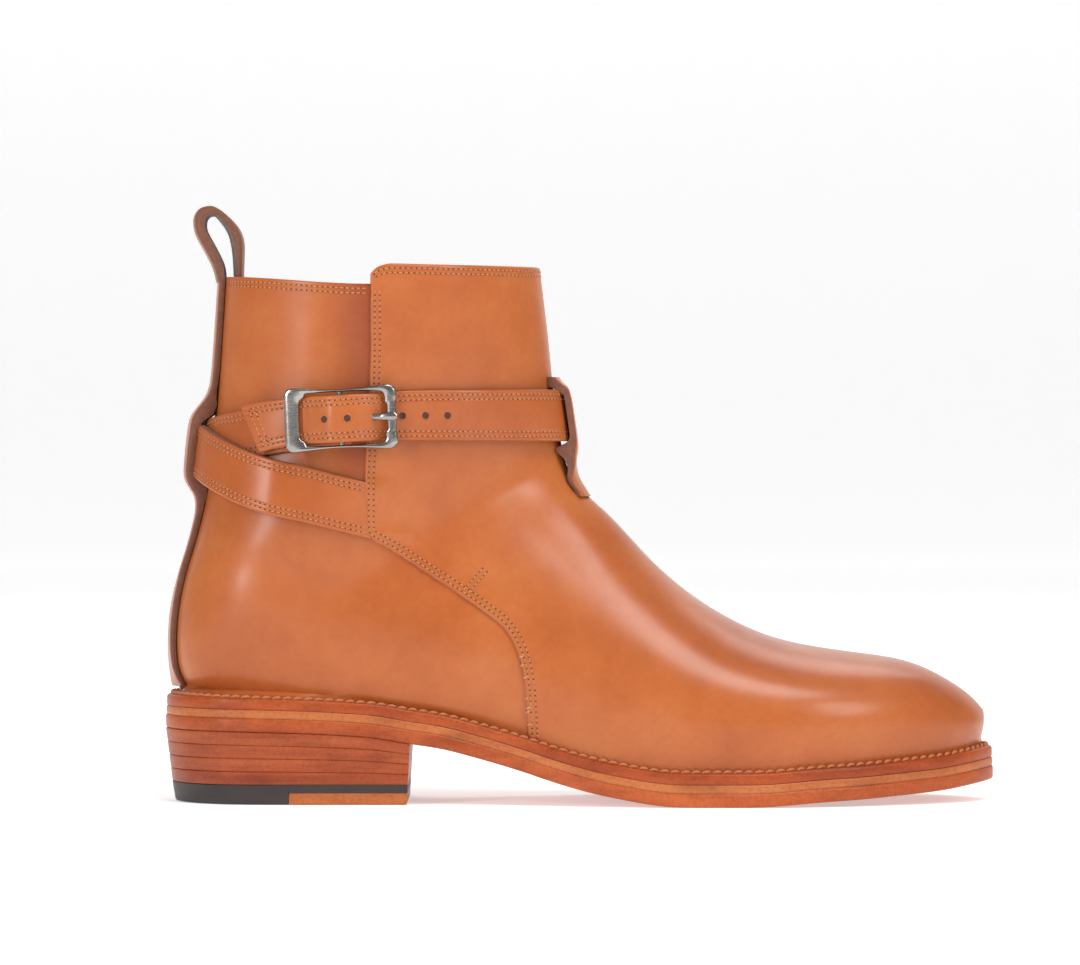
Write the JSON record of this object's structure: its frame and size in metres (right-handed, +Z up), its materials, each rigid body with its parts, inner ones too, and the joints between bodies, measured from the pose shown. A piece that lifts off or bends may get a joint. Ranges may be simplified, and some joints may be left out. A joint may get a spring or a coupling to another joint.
{
  "type": "jodhpur boot",
  "caption": "Ankle-high leather boot for the right foot, with a wrapped strap and side buckle, a pull loop at the back and a stacked leather sole and heel.",
  "frame": {"origin": "on the floor under the heel, in the middle of its width, 42 mm from the sole's rear end", "axes": "+X from heel to toe, +Y to the inner (medial) side of the foot, -Y to the outer side with the buckle, +Z up"},
  "size_m": [0.305, 0.1035, 0.2186],
  "materials": {
    "outsole_leather": "dyed and waxed sole leather, satin edge",
    "midsole_leather": "lighter sole leather, satin edge",
    "welt_leather": "dyed welt leather with thick stitches",
    "insole_leather": "smooth undyed leather",
    "heel_leather": "stacked sole leather, polished edge",
    "heel_rubber": "dark brown rubber",
    "insert_leather": "sole leather",
    "upper_leather": "burnished tan calf, soft gloss",
    "strap_leather": "tan bridle leather, darker edges",
    "loop_leather": "tan leather, grey-brown flesh side",
    "buckle_metal": "polished nickel plate"
  },
  "bodies": {
    "root": {"outsole": "outsole_leather", "midsole": "midsole_leather", "welt": "welt_leather", "insole": "insole_leather", "heel_lift_1": "heel_leather", "heel_lift_2": "heel_leather", "heel_lift_3": "heel_leather", "heel_lift_4": "heel_leather", "top_piece": "heel_rubber", "top_piece_insert": "insert_leather", "upper": "upper_leather", "wrap_strap": "strap_leather", "buckle_strap": "strap_leather", "back_strip": "upper_leather", "front_keeper": "upper_leather", "pull_loop": "loop_leather", "buckle_frame": "buckle_metal", "buckle_prong": "buckle_metal"}
  },
  "joints": []
}
